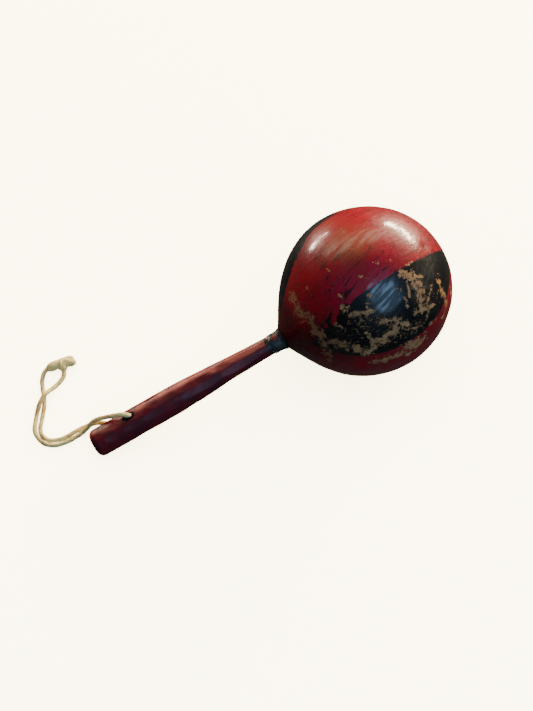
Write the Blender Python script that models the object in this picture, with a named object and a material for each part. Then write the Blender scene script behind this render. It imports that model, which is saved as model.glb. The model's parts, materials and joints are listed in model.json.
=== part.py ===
"""A painted gourd rattle on a whittled stick, lying at rest on its side.

Every turned piece is drawn along the stick's axis, which is X in the "lying" empty's own frame, with X = 0 at the
butt. The empty then tips the rattle until the gourd and the butt both touch the table at Z = 0.
Metres throughout. The origin is on the table, under the middle of the rattle without its cord.
"""

import math

import bmesh
import bpy
from mathutils import Matrix, Vector

MM = 0.001
TABLE_GAP = 0.1 * MM
FIT_GAP = 0.4 * MM

# the gourd: a ball drawn out to a short neck at the stick, and a little at its far pole
GOURD_CENTRE = 199.2 * MM
GOURD_RADIUS = 53.8 * MM
NECK_REACH = 11.1 * MM
NECK_FALL = math.radians(16)
POLE_REACH = 1.5 * MM
GOURD_WALL = 3.0 * MM
GOURD_RIM = 6.3 * MM
GOURD_BORE = 5.0 * MM
GOURD_FLAT = 0.3 * MM
GOURD_SIDES = 40
OUTER_STEPS = 26
INNER_STEPS = 16

# the stick
BUTT_RADIUS = 9.3 * MM
BUTT_ROUND = 2.2 * MM
BUTT_STEPS = 4
SHOULDER = 129.3 * MM
SHOULDER_RADIUS = 6.0 * MM
TENON_RADIUS = 4.6 * MM
TENON_TIP = 172.0 * MM
TENON_CHAMFER = 1.0 * MM
STICK_SIDES = 20
STICK_TAPER = (
    (30.0, 9.3), (60.0, 9.25), (68.0, 9.05), (79.0, 8.45), (90.0, 7.85), (101.0, 7.15), (113.0, 6.6), (122.0, 6.25),
)

# the cord's hole, worn to an oval along the stick
HOLE_AT = 28.8 * MM
HOLE_TURN = math.radians(-12.5)
HOLE_WIDTH = 5.8 * MM
HOLE_LENGTH = 9.0 * MM
HOLE_SIDES = 20

# the putty collar at the joint
COLLAR_FROM = 129.7 * MM
COLLAR_RADII = ((0.0, 5.75), (1.2, 6.15), (4.0, 6.1), (7.7, 6.45))
COLLAR_SIDES = 24

# the seeds in the gourd: rows one above the other at the lowest place inside
SEED_RADIUS = 2.8 * MM
SEED_ROWS = (7, 6, 5)
SEED_ROW_RISE = 5.0 * MM
SEED_PITCH = 6.2 * MM

# the cord: both its ends are tied in one knot, and its middle runs through the hole
CORD_DIAMETER = 2.6 * MM
CORD_POINT_EVERY = 2.0 * CORD_DIAMETER
SAMPLES_PER_STRETCH = 24
CORD_ROUTE_MM = (
    (-125.6, 67.1, 2.9), (-128.9, 66.9, 2.4), (-131.8, 65.4, 1.8), (-134.1, 62.7, 1.4), (-137.8, 52.6, 1.4),
    (-139.6, 46.4, 1.4), (-146.2, 34.9, 1.4), (-149.2, 30.2, 1.4), (-150.4, 25.9, 1.4), (-147.0, 19.2, 1.4),
    (-142.9, 17.5, 1.4), (-123.0, 17.9, 1.4), (-116.0, 17.2, 1.4), (-109.6, 13.9, 1.4), (-103.2, 8.0, 1.4),
    (-97.4, 2.2, 1.4), (-94.6, -0.5, 2.9), (-93.2, -1.6, 7.2), (-94.0, -0.2, 15.6), (-95.5, 1.5, 22.0),
    (-97.8, 2.4, 24.8), (-101.4, 4.2, 25.9), (-105.9, 6.9, 22.9), (-114.7, 12.9, 14.7), (-118.3, 15.2, 9.1),
    (-122.2, 15.3, 4.4), (-126.8, 14.5, 2.0), (-134.0, 13.6, 1.4), (-140.0, 13.6, 1.4), (-145.6, 14.7, 1.4),
    (-150.4, 18.0, 1.4), (-153.5, 27.8, 1.4), (-148.9, 37.8, 1.5), (-145.6, 42.4, 2.6), (-141.8, 46.4, 4.2),
    (-137.4, 49.4, 4.6), (-132.6, 51.7, 2.9), (-127.8, 53.7, 1.5), (-120.6, 58.4, 1.8), (-119.2, 61.9, 2.6),
)

# the knot that joins the cord's ends
KNOT_FROM_MM = (-122.2, 66.6, 3.2)
KNOT_TO_MM = (-113.0, 65.1, 3.2)
KNOT_RADIUS = 3.0 * MM
KNOT_SIDES = 14
KNOT_RINGS = 10


def clear_scene():
    for old in list(bpy.data.objects):
        bpy.data.objects.remove(old, do_unlink=True)


def material(name, colour, roughness):
    made = bpy.data.materials.new(name)
    made.use_nodes = True
    shader = made.node_tree.nodes["Principled BSDF"]
    shader.inputs["Base Color"].default_value = (*colour, 1.0)
    shader.inputs["Roughness"].default_value = roughness
    shader.inputs["Metallic"].default_value = 0.0
    return made


def add_object(name, mesh, finish, parent=None):
    made = bpy.data.objects.new(name, mesh)
    bpy.context.collection.objects.link(made)
    if finish:
        mesh.materials.append(finish)
    made.parent = parent
    return made


def mesh_from(name, form):
    bmesh.ops.recalc_face_normals(form, faces=form.faces)
    mesh = bpy.data.meshes.new(name)
    form.to_mesh(mesh)
    form.free()
    mesh.shade_smooth()
    mesh.set_sharp_from_angle(angle=math.radians(35))
    return mesh


def turned(profile, sides, closed=False):
    """A profile of (X, radius) points spun round the X axis, with a flat side facing straight down."""
    form = bmesh.new()
    half_side = math.pi / sides
    start = Matrix.Rotation(half_side, 3, "X")
    verts = [form.verts.new(start @ Vector((x, 0.0, radius / math.cos(half_side)))) for x, radius in profile]
    pairs = list(zip(verts, verts[1:]))
    if closed:
        pairs.append((verts[-1], verts[0]))
    edges = [form.edges.new(pair) for pair in pairs]
    bmesh.ops.spin(
        form, geom=verts + edges, cent=(0, 0, 0), axis=(1, 0, 0), dvec=(0, 0, 0), angle=2 * math.pi,
        steps=sides, use_merge=False,
    )
    bmesh.ops.remove_doubles(form, verts=form.verts, dist=0.00001)
    return form


def gourd_radius(angle):
    """From the gourd's centre to its skin, by the angle from the stick's side of the axis."""
    radius = GOURD_RADIUS + NECK_REACH * math.exp(-angle / NECK_FALL)
    if angle > math.pi / 2:
        radius += POLE_REACH * math.cos(angle) ** 4
    return radius


def gourd_point(angle, depth=0.0):
    radius = gourd_radius(angle) - depth
    return GOURD_CENTRE - radius * math.cos(angle), radius * math.sin(angle)


def angle_at(off_axis, depth=0.0):
    """The angle at which the skin, or a surface some depth under it, is that far from the axis beside the stick."""
    angle = 0.0
    for _ in range(30):
        angle = math.asin(off_axis / (gourd_radius(angle) - depth))
    return angle


def gourd_drop(tilt):
    """How far the skin reaches straight down from the gourd's centre when the axis is tipped up by tilt."""
    return max(gourd_radius(a) * math.sin(a + tilt) for a in (math.radians(d / 10) for d in range(600, 1000)))


def resting_place():
    """The tilt at which the flattened gourd and the rounded butt both touch the table, and the butt's height."""
    tilt = 0.0
    for _ in range(30):
        centre_up = gourd_drop(tilt) - GOURD_FLAT
        edge_up = BUTT_ROUND + (BUTT_RADIUS - BUTT_ROUND) * math.cos(tilt)
        tilt = math.asin((centre_up - edge_up) / (GOURD_CENTRE - BUTT_ROUND))
    return tilt, centre_up - GOURD_CENTRE * math.sin(tilt)


def middle_along(tilt):
    """Half way between the butt's and the gourd's outermost points, measured level."""
    far = max(
        x * math.cos(tilt) + r * math.sin(tilt)
        for x, r in (gourd_point(math.radians(d)) for d in range(90, 181))
    )
    near = BUTT_ROUND * math.cos(tilt) - (BUTT_RADIUS - BUTT_ROUND) * math.sin(tilt) - BUTT_ROUND
    return (far + near) / 2


def lying_frame():
    tilt, butt_up = resting_place()
    frame = bpy.data.objects.new("lying", None)
    bpy.context.collection.objects.link(frame)
    frame.location = (-middle_along(tilt), 0.0, butt_up)
    frame.rotation_euler = (0.0, -tilt, 0.0)
    bpy.context.view_layer.update()
    return frame, tilt


def make_gourd(frame, tilt, finish):
    first = angle_at(GOURD_RIM)
    outer = [gourd_point(first + (math.pi - first) * i / OUTER_STEPS) for i in range(OUTER_STEPS + 1)]
    start = angle_at(GOURD_BORE, GOURD_WALL)
    inner = [
        gourd_point(start + (math.pi - start) * i / INNER_STEPS, GOURD_WALL) for i in range(INNER_STEPS + 1)
    ]
    outer[-1] = (outer[-1][0], 0.0)
    inner[-1] = (inner[-1][0], 0.0)
    rim = [(outer[0][0], GOURD_BORE)]
    form = turned(outer[::-1] + rim + inner, GOURD_SIDES)

    # the spot it lies on is slightly flattened
    down = Vector((-math.sin(tilt), 0.0, -math.cos(tilt)))
    spot = Vector((GOURD_CENTRE, 0.0, 0.0)) + down * (gourd_drop(tilt) - GOURD_FLAT)
    cut = bmesh.ops.bisect_plane(
        form, geom=form.verts[:] + form.edges[:] + form.faces[:], plane_co=spot, plane_no=down, clear_outer=True,
    )
    edges = [e for e in cut["geom_cut"] if isinstance(e, bmesh.types.BMEdge)]
    bmesh.ops.contextual_create(form, geom=edges)
    return add_object("gourd_shell", mesh_from("gourd_shell", form), finish, frame)


def stick_profile():
    corner = BUTT_RADIUS - BUTT_ROUND
    profile = [(0.0, 0.0)]
    for i in range(BUTT_STEPS + 1):
        turn = math.pi / 2 * i / BUTT_STEPS
        profile.append((BUTT_ROUND * (1 - math.cos(turn)), corner + BUTT_ROUND * math.sin(turn)))
    profile += [(x * MM, r * MM) for x, r in STICK_TAPER]
    profile += [
        (SHOULDER, SHOULDER_RADIUS), (SHOULDER, TENON_RADIUS), (TENON_TIP - TENON_CHAMFER, TENON_RADIUS),
        (TENON_TIP, TENON_RADIUS - TENON_CHAMFER), (TENON_TIP, 0.0),
    ]
    return profile


def hole_cutter(frame):
    form = bmesh.new()
    bmesh.ops.create_cone(
        form, cap_ends=True, segments=HOLE_SIDES, radius1=HOLE_WIDTH / 2, radius2=HOLE_WIDTH / 2,
        depth=4 * BUTT_RADIUS,
    )
    bmesh.ops.scale(form, verts=form.verts, vec=(HOLE_LENGTH / HOLE_WIDTH, 1.0, 1.0))
    cutter = add_object("hole_cutter", mesh_from("hole_cutter", form), None, frame)
    cutter.location = (HOLE_AT, 0.0, 0.0)
    cutter.rotation_euler = (HOLE_TURN, 0.0, 0.0)
    cutter.hide_render = True
    cutter.display_type = "WIRE"
    return cutter


def make_stick(frame, finish):
    form = turned(stick_profile(), STICK_SIDES)
    stick = add_object("handle", mesh_from("handle", form), finish, frame)
    drill = stick.modifiers.new("cord hole", "BOOLEAN")
    drill.operation = "DIFFERENCE"
    drill.object = hole_cutter(frame)
    return stick


def make_collar(frame, finish):
    bore = TENON_RADIUS + FIT_GAP
    outer = [(COLLAR_FROM + x * MM, r * MM) for x, r in COLLAR_RADII]
    form = turned([*outer, (outer[-1][0], bore), (outer[0][0], bore)], COLLAR_SIDES, closed=True)
    return add_object("neck_collar", mesh_from("neck_collar", form), finish, frame)


def make_seeds(frame, tilt, finish):
    """Each seed's origin is on the gourd's axis, so it swings round the inside wall about its own X."""
    form = bmesh.new()
    bmesh.ops.create_icosphere(form, subdivisions=2, radius=SEED_RADIUS)
    ball = mesh_from("seed", form)
    lowest = math.pi / 2 - tilt
    floor = gourd_radius(lowest) - GOURD_WALL - GOURD_FLAT - FIT_GAP - SEED_RADIUS
    step = SEED_PITCH / (floor - SEED_ROW_RISE * (len(SEED_ROWS) - 1))
    number = 0
    for row, count in enumerate(SEED_ROWS):
        radius = floor - SEED_ROW_RISE * row
        for i in range(count):
            number += 1
            angle = lowest + step * (i - (count - 1) / 2)
            along = GOURD_CENTRE - radius * math.cos(angle)
            mesh = ball.copy()
            mesh.transform(Matrix.Translation((0.0, 0.0, -radius * math.sin(angle))))
            seed = add_object(f"seed_{number:02d}", mesh, None, frame)
            seed.location = (along, 0.0, 0.0)
            mesh.materials.append(finish)
    bpy.data.meshes.remove(ball)


def smooth_through(points, every):
    """Points that far apart along a smooth curve through the given ones, none lower than the cord can lie.

    Each stretch is a cubic. Its slope at a point leans towards the nearer neighbour's direction, as an arc's does.
    """
    points = [Vector(p) for p in points]
    gaps = [(b - a).length for a, b in zip(points, points[1:])]
    slopes = []
    for i in range(len(points)):
        if i == 0:
            slopes.append((points[1] - points[0]) / gaps[0])
        elif i == len(points) - 1:
            slopes.append((points[-1] - points[-2]) / gaps[-1])
        else:
            before, after = gaps[i - 1], gaps[i]
            into = (points[i] - points[i - 1]) / before
            out = (points[i + 1] - points[i]) / after
            slopes.append((into * after + out * before) / (before + after))
    fine = []
    for i, gap in enumerate(gaps):
        for k in range(SAMPLES_PER_STRETCH):
            t = k / SAMPLES_PER_STRETCH
            fine.append(
                points[i] * (2 * t**3 - 3 * t**2 + 1) + slopes[i] * gap * (t**3 - 2 * t**2 + t)
                + points[i + 1] * (3 * t**2 - 2 * t**3) + slopes[i + 1] * gap * (t**3 - t**2)
            )
    fine.append(points[-1])
    for point in fine:
        point.z = max(point.z, CORD_DIAMETER / 2 + TABLE_GAP)
    total = sum((b - a).length for a, b in zip(fine, fine[1:]))
    count = round(total / every)
    kept, run, wanted = [fine[0]], 0.0, total / count
    for a, b in zip(fine, fine[1:]):
        run += (b - a).length
        if run >= wanted * len(kept) and len(kept) < count:
            kept.append(b)
    return [*kept, fine[-1]]


def make_cord(finish):
    curve = bpy.data.curves.new("wrist_cord", "CURVE")
    curve.dimensions = "3D"
    curve.bevel_depth = CORD_DIAMETER / 2
    curve.bevel_resolution = 2
    curve.use_fill_caps = True
    route = smooth_through([Vector(p) * MM for p in CORD_ROUTE_MM], CORD_POINT_EVERY)
    spline = curve.splines.new("POLY")
    spline.points.add(len(route) - 1)
    for point, place in zip(spline.points, route):
        point.co = (*place, 1.0)
    curve.materials.append(finish)
    cord = bpy.data.objects.new("wrist_cord", curve)
    bpy.context.collection.objects.link(cord)
    return cord


def make_knot(finish):
    """A ball drawn out along the knot's length."""
    start, end = (Vector(p) * MM for p in (KNOT_FROM_MM, KNOT_TO_MM))
    form = bmesh.new()
    bmesh.ops.create_uvsphere(form, u_segments=KNOT_SIDES, v_segments=KNOT_RINGS, radius=KNOT_RADIUS)
    for vert in form.verts:
        vert.co.z += math.copysign((end - start).length / 2, vert.co.z) if abs(vert.co.z) > 1e-6 else 0.0
    knot = add_object("cord_knot", mesh_from("cord_knot", form), finish)
    knot.location = (start + end) / 2
    knot.rotation_euler = (end - start).to_track_quat("Z", "Y").to_euler()
    return knot


def main():
    clear_scene()
    frame, tilt = lying_frame()
    make_gourd(frame, tilt, material("painted gourd", (0.32, 0.02, 0.025), 0.35))
    make_stick(frame, material("painted stick", (0.20, 0.035, 0.03), 0.5))
    make_collar(frame, material("blackened putty", (0.03, 0.03, 0.03), 0.6))
    make_seeds(frame, tilt, material("dry seed", (0.05, 0.03, 0.02), 0.4))
    cotton = material("cotton cord", (0.70, 0.58, 0.36), 0.85)
    make_cord(cotton)
    make_knot(cotton)


main()
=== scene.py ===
"""A painted gourd maraca with its wrist cord: surfaces, finishes, the floor, the lights and the camera.

A place on a turned piece is (along, around, off): how far it is along the rattle's axis from the butt, its
angle round the axis from the top, positive towards -Y, and how far it is off the axis. On the gourd, its
latitude is the angle at its centre from the stick's side of the axis: 0 at the neck, pi at the tip.
Lengths are in metres and angles in radians, except in the tables, whose comments say what they are in.
"""

import json
import math

import bpy
import numpy as np
from bpy.props import FloatProperty, FloatVectorProperty, IntProperty, PointerProperty
from mathutils import Matrix, Vector


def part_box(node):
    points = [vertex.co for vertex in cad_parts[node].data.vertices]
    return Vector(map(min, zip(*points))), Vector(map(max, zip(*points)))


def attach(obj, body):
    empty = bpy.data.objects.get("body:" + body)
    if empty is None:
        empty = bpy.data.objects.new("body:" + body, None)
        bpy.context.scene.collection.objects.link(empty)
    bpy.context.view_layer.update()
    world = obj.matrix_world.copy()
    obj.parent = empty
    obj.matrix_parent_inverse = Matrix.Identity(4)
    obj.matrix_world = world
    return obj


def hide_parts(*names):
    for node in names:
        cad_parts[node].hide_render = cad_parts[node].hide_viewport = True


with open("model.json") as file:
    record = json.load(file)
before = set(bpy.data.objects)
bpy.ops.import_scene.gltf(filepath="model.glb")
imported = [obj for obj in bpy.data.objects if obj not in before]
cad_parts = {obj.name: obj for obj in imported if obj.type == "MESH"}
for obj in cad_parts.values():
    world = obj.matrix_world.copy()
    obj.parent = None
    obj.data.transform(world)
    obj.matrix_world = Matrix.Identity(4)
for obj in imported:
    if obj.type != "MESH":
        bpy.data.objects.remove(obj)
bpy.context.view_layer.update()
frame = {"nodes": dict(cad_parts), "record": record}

bl_info = {
    "name": "Gourd Maraca",
    "version": (1, 0, 0),
    "blender": (4, 5, 0),
    "location": "3D View > Sidebar > Maraca",
    "description": "Builds a painted gourd maraca, its wrist cord and a small stage",
    "category": "Add Mesh",
}

MM = 0.001
TURN = 2 * math.pi
MOUNTS = {mount["name"]: mount for mount in frame["record"]["mounts"]}
BUTT = np.array(MOUNTS["butt_end"]["pos_m"])
ALONG = -np.array(MOUNTS["butt_end"]["axis"])
SIDE = np.array([0.0, -1.0, 0.0])
TOP = np.cross(SIDE, ALONG)

# the cord's centreline in millimetres, from one side of the knot to the other, as its solid has it
CORD_ROUTE_MM = (
    (-125.6, 67.1, 2.9), (-128.9, 66.9, 2.4), (-131.8, 65.4, 1.8), (-134.1, 62.7, 1.4), (-137.8, 52.6, 1.4),
    (-139.6, 46.4, 1.4), (-146.2, 34.9, 1.4), (-149.2, 30.2, 1.4), (-150.4, 25.9, 1.4), (-147.0, 19.2, 1.4),
    (-142.9, 17.5, 1.4), (-123.0, 17.9, 1.4), (-116.0, 17.2, 1.4), (-109.6, 13.9, 1.4), (-103.2, 8.0, 1.4),
    (-97.4, 2.2, 1.4), (-94.6, -0.5, 2.9), (-93.2, -1.6, 7.2), (-94.0, -0.2, 15.6), (-95.5, 1.5, 22.0),
    (-97.8, 2.4, 24.8), (-101.4, 4.2, 25.9), (-105.9, 6.9, 22.9), (-114.7, 12.9, 14.7), (-118.3, 15.2, 9.1),
    (-122.2, 15.3, 4.4), (-126.8, 14.5, 2.0), (-134.0, 13.6, 1.4), (-140.0, 13.6, 1.4), (-145.6, 14.7, 1.4),
    (-150.4, 18.0, 1.4), (-153.5, 27.8, 1.4), (-148.9, 37.8, 1.5), (-145.6, 42.4, 2.6), (-141.8, 46.4, 4.2),
    (-137.4, 49.4, 4.6), (-132.6, 51.7, 2.9), (-127.8, 53.7, 1.5), (-120.6, 58.4, 1.8), (-119.2, 61.9, 2.6),
)
CORD_LOWEST = 1.4 * MM
PLACES_PER_STRETCH = 24
FURROW = 0.055  # the depth of the furrows between the yarns, as a share of the cord's radius
SWELL = 0.045
FIBRE_STRETCH = 8
TABLE_GAP = 0.02 * MM

# the knot in millimetres: the cord's two ends run side by side into a stub, inside a fat body with a winding
KNOT_ENDS_MM = (
    ((-127.4, 67.1, 2.6), (-124.6, 67.1, 2.9), (-121.5, 67.1, 3.3), (-117.0, 67.0, 3.4), (-112.8, 66.6, 3.1),
     (-109.9, 65.7, 2.8)),
    ((-119.9, 60.2, 2.2), (-119.0, 62.6, 2.8), (-117.9, 64.4, 3.2), (-115.0, 64.4, 3.2), (-112.0, 63.7, 3.0),
     (-109.7, 62.9, 2.7)),
)
KNOT_BODY_MM = (
    (-129.6, 66.3, 2.4), (-126.0, 66.8, 2.9), (-122.0, 66.6, 3.2), (-118.0, 65.9, 3.3), (-114.0, 65.2, 3.2),
    (-110.6, 64.4, 2.9),
)
# its strands: name, places, radius, and how far from each end it starts to get thinner
KNOT_STRANDS_MM = (
    ("first_end", KNOT_ENDS_MM[0], 2.5, 3.0), ("second_end", KNOT_ENDS_MM[1], 2.5, 3.0),
    ("body", KNOT_BODY_MM, 3.25, 6.0),
)
WINDING_FROM_MM = (-122.6, 66.7, 3.1)
WINDING_TO_MM = (-116.6, 65.5, 3.3)
WINDING_TURNS = 1.5
WINDING_START = 2.6
WINDING_RADIUS = 2.75 * MM
WINDING_SQUASH = 0.80


# ---------------------------------------------------------------- settings


def length(name, default, about):
    return FloatProperty(name=name, description=about, default=default, min=0.0, unit="LENGTH", precision=5)


def colour(name, default, about):
    return FloatVectorProperty(
        name=name, description=about, default=default, size=3, min=0.0, max=1.0, subtype="COLOR"
    )


class GourdSettings(bpy.types.PropertyGroup):
    centre: length("Centre", 199.2 * MM, "From the butt to the gourd's centre")
    radius: length("Radius", 53.8 * MM, "The gourd's round part")
    neck_reach: length("Neck reach", 11.1 * MM, "How far the neck is drawn out past the round part")
    tip_reach: length("Tip reach", 1.5 * MM, "How far the tip is drawn out")
    wall: length("Wall", 3.0 * MM, "The thickness of the skin")
    bore: length("Bore", 5.0 * MM, "The radius of the hole for the stick")
    rows: IntProperty(name="Rows", description="Rings of faces from tip to neck", default=240, min=16)
    sides: IntProperty(name="Sides", description="Faces round the gourd", default=320, min=16)
    red: colour("Red", (0.26, 0.0018, 0.010), "The red paint")
    # wine: red thin over black, and a painted magenta sheen beside the black band on top
    wine: colour("Wine", (0.27, 0.005, 0.028), "The red paint where it is thin over black")
    # rust: faded paint, and a painted warm sheen on the upper middle
    rust: colour("Rust", (0.24, 0.040, 0.016), "The red paint where it has faded")
    black: colour("Black", (0.0035, 0.004, 0.0045), "The black paint")
    bare: colour("Bare skin", (0.44, 0.235, 0.095), "The dry gourd under the paint")


class StickSettings(bpy.types.PropertyGroup):
    butt_round: length("Butt rounding", 4.2 * MM, "The rounding of the butt's edge")
    shoulder: length("Shoulder", 129.3 * MM, "From the butt to the shoulder at the gourd")
    tenon: length("Tenon", 4.6 * MM, "The radius of the peg inside the gourd")
    tenon_tip: length("Tenon tip", 172.0 * MM, "From the butt to the peg's far end")
    hole_at: length("Hole", 28.8 * MM, "From the butt to the cord's hole")
    hole_width: length("Hole width", 5.8 * MM, "Across the stick")
    hole_length: length("Hole length", 9.0 * MM, "Along the stick, where the cord has worn it")
    maroon: colour("Maroon", (0.150, 0.010, 0.017), "The paint on the stick")
    # brick: worn paint, and a painted sheen along the upper side where the light falls
    brick_wear_and_sheen: colour("Brick", (0.36, 0.080, 0.058), "The paint where hands have rubbed it")
    plum: colour("Plum", (0.085, 0.009, 0.016), "The paint where it is thickest")


class CollarSettings(bpy.types.PropertyGroup):
    start: length("Start", 129.4 * MM, "From the butt to the collar")
    end: length("End", 138.5 * MM, "From the butt to where it laps on the gourd")
    black: colour("Black", (0.010, 0.011, 0.012), "The blackened putty")


class CordSettings(bpy.types.PropertyGroup):
    strand: length("Strand", 1.5 * MM, "The radius of the cord as it is seen")
    lay: length("Lay", 17.0 * MM, "The length of one turn of the yarns")
    yarns: IntProperty(name="Yarns", description="Yarns twisted into the cord", default=3, min=2)
    cream: colour("Cream", (1.0, 0.81, 0.29), "Clean cotton")
    soiled: colour("Soiled", (0.56, 0.33, 0.10), "Cotton browned by hands")


class StageSettings(bpy.types.PropertyGroup):
    elevation: FloatProperty(
        name="Elevation", description="The camera's height", default=math.radians(63), subtype="ANGLE"
    )
    swing: FloatProperty(
        name="Swing", description="The camera's turn from +Y to +X", default=math.radians(26.8),
        subtype="ANGLE",
    )
    distance: length("Distance", 0.9, "From the camera to what it looks at")
    lens: FloatProperty(name="Lens", description="Focal length in millimetres", default=71.7, min=10.0)
    paper: colour("Floor", (1.0, 0.87, 0.57), "The pale floor")
    glow: FloatProperty(name="Floor glow", description="The light that the floor gives", default=9.5, min=0.0)


# ---------------------------------------------------------------- shapes


def place(along, around, off):
    """World points: butt + along * axis + off * (cos(around) * top + sin(around) * side)."""
    across = np.cos(around)[..., None] * TOP + np.sin(around)[..., None] * SIDE
    return BUTT + along[..., None] * ALONG + off[..., None] * across


def measure(points):
    """The (along, around, off) of world points: place() turned about."""
    gone = points - BUTT
    up, side = gone @ TOP, gone @ SIDE
    return gone @ ALONG, np.arctan2(side, up), np.hypot(up, side)


def ripple(points, wavelength, seed, waves=14):
    """Smooth unevenness, mostly from -1 to 1: a sum of sine waves of about that length in all directions."""
    rng = np.random.default_rng(seed)
    ways = rng.normal(size=(waves, 3))
    ways /= np.linalg.norm(ways, axis=1)[:, None] * wavelength * rng.uniform(0.7, 1.5, (waves, 1))
    return np.sin(TURN * (points @ ways.T + rng.uniform(0, 1, waves))).sum(-1) / math.sqrt(waves)


def skin(name, rings, first=None, last=None, loop=False):
    """A mesh over rings of points, each closed round: neighbours in the array are neighbours on the surface.

    A first or last point closes that end with a fan of triangles, and loop joins the last ring to the first.
    Faces point outwards where each ring turns anticlockwise as seen from the rings after it.
    """
    count, sides = rings.shape[:2]
    row = np.arange(count if loop else count - 1)[:, None]
    column = np.arange(sides)[None, :]
    here, there = row * sides, (row + 1) % count * sides
    after = (column + 1) % sides
    quads = np.stack([here + column, here + after, there + after, there + column], -1).reshape(-1, 4)
    points, faces = [rings.reshape(-1, 3)], quads.tolist()
    column, after = column[0], after[0]
    for tip, base in ((first, 0), (last, (count - 1) * sides)):
        if tip is not None:
            index = np.full(sides, count * sides + len(points) - 1)
            pair = (after, column) if tip is first else (column, after)
            faces += np.stack([base + pair[0], base + pair[1], index], -1).tolist()
            points.append(np.asarray(tip)[None, :])
    mesh = bpy.data.meshes.new(name)
    mesh.from_pydata(np.concatenate(points).tolist(), [], faces)
    mesh.shade_smooth()
    return mesh


def mesh_points(mesh):
    """The mesh's vertices as an array of points."""
    flat = np.empty(len(mesh.vertices) * 3, np.float32)
    mesh.vertices.foreach_get("co", flat)
    return flat.reshape(-1, 3).astype(float)


def write_field(mesh, name, values):
    """Stores a number, or a vector, for each vertex, for the material to read."""
    kind, key = ("FLOAT", "value") if values.ndim == 1 else ("FLOAT_VECTOR", "vector")
    mesh.attributes.new(name, kind, "POINT").data.foreach_set(key, values.astype(np.float32).ravel())


def put(name, data):
    """A new object in the scene."""
    made = bpy.data.objects.new(name, data)
    bpy.context.scene.collection.objects.link(made)
    return made


def add_piece(name, mesh, finish, body="rattle", replaces=()):
    """A finished piece at the origin, riding on its body and standing for its solids."""
    piece = put(name, mesh)
    mesh.materials.append(finish)
    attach(piece, body)
    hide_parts(*replaces)
    return piece


def join_meshes(name, meshes):
    """One mesh of several closed bodies, with their fields."""
    parts = [put(name, mesh) for mesh in meshes]
    with bpy.context.temp_override(active_object=parts[0], selected_editable_objects=parts):
        bpy.ops.object.join()
    mesh = parts[0].data
    bpy.data.objects.remove(parts[0])
    return mesh


def segment_distance(points, start, end):
    """From each point to the straight line between two places."""
    way = end - start
    share = np.clip((points - start) @ way / (way @ way), 0.0, 1.0)
    return np.linalg.norm(points - start - share[:, None] * way, axis=1)


def nearness(points, middle, size):
    """1 at a place and fading away from it: e^(-(distance / size)^2)."""
    return np.exp(-((np.linalg.norm(points - middle, axis=-1) / size) ** 2))


def all_round(sides):
    """Evenly spaced angles round, in a row."""
    return np.linspace(0, TURN, sides, endpoint=False)[None, :]


def smoothstep(low, high, values):
    """0 below low, 1 above high, and an S between: 3 t^2 - 2 t^3."""
    share = np.clip((values - low) / (high - low), 0.0, 1.0)
    return share * share * (3 - 2 * share)


# ---------------------------------------------------------------- finishes


class Tone:
    """One output of a node in a material. Python's operators on Tones add the nodes that work them out."""

    def __init__(self, tree, socket=None):
        self.tree = tree
        self.socket = socket

    def add(self, kind, settings=None, sockets=None, output=0):
        """A new node of that kind, with its settings and its sockets, each a plain value or a Tone."""
        node = self.tree.nodes.new(kind)
        for name, value in (settings or {}).items():
            setattr(node, name, value)
        for name, value in (sockets or {}).items():
            if isinstance(value, Tone):
                self.tree.links.new(value.socket, node.inputs[name])
            else:
                node.inputs[name].default_value = value
        return Tone(self.tree, node.outputs[output])

    def maths(self, operation, *values):
        return self.add("ShaderNodeMath", {"operation": operation}, dict(enumerate(values)))

    def __add__(self, other):
        return self.maths("ADD", self, other)

    __radd__ = __add__

    def __sub__(self, other):
        return self.maths("SUBTRACT", self, other)

    def __rsub__(self, other):
        return self.maths("SUBTRACT", other, self)

    def __mul__(self, other):
        return self.maths("MULTIPLY", self, other)

    __rmul__ = __mul__

    def most(self, other):
        return self.maths("MAXIMUM", self, other)

    def rise(self, low, high):
        """0 below low, 1 above high, and smooth between."""
        sockets = {"Value": self, "From Min": low, "From Max": high}
        return self.add("ShaderNodeMapRange", {"interpolation_type": "SMOOTHSTEP"}, sockets)

    def noise(self, size, detail=3.0, roughness=0.55, warp=0.0):
        """Cloudy noise from 0 to 1 over this vector, with blobs of that size in metres."""
        sockets = {
            "Vector": self, "Scale": 1.0 / size, "Detail": detail, "Roughness": roughness, "Distortion": warp,
        }
        return self.add("ShaderNodeTexNoise", None, sockets)

    def swing(self, size, detail=3.0, roughness=0.55):
        """The same noise about 0, mostly from -1 to 1."""
        return (self.noise(size, detail, roughness) - 0.5) * 4.0

    def over(self, under, cover):
        """The colour under, covered by the colour cover as far as this mask says."""
        sockets = {0: self, 6: rgba(under), 7: rgba(cover)}
        return self.add("ShaderNodeMix", {"data_type": "RGBA"}, sockets, output=2)

    def field(self, name, vector=False):
        """A field of the mesh, as a number or a vector."""
        return self.add("ShaderNodeAttribute", {"attribute_name": name}, output=1 if vector else 2)


def rgba(value):
    return value if isinstance(value, Tone) else (*value, 1.0)


def new_finish(name):
    """A material, its shader and a Tone to start from."""
    made = bpy.data.materials.new(name)
    made.use_nodes = True
    return made, made.node_tree.nodes["Principled BSDF"], Tone(made.node_tree)


def set_shader(shader, start, height=None, relief=0.0, **sockets):
    """Sets the shader's sockets, each to a value or a Tone, and raises the surface by height * relief."""
    if height is not None:
        bump = {"Height": height, "Distance": relief, "Strength": 1.0}
        sockets["Normal"] = start.add("ShaderNodeBump", None, bump)
    for name, value in sockets.items():
        target = shader.inputs[name.replace("_", " ")]
        if isinstance(value, Tone):
            start.tree.links.new(value.socket, target)
        else:
            target.default_value = value


# ---------------------------------------------------------------- cord and knot


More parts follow.
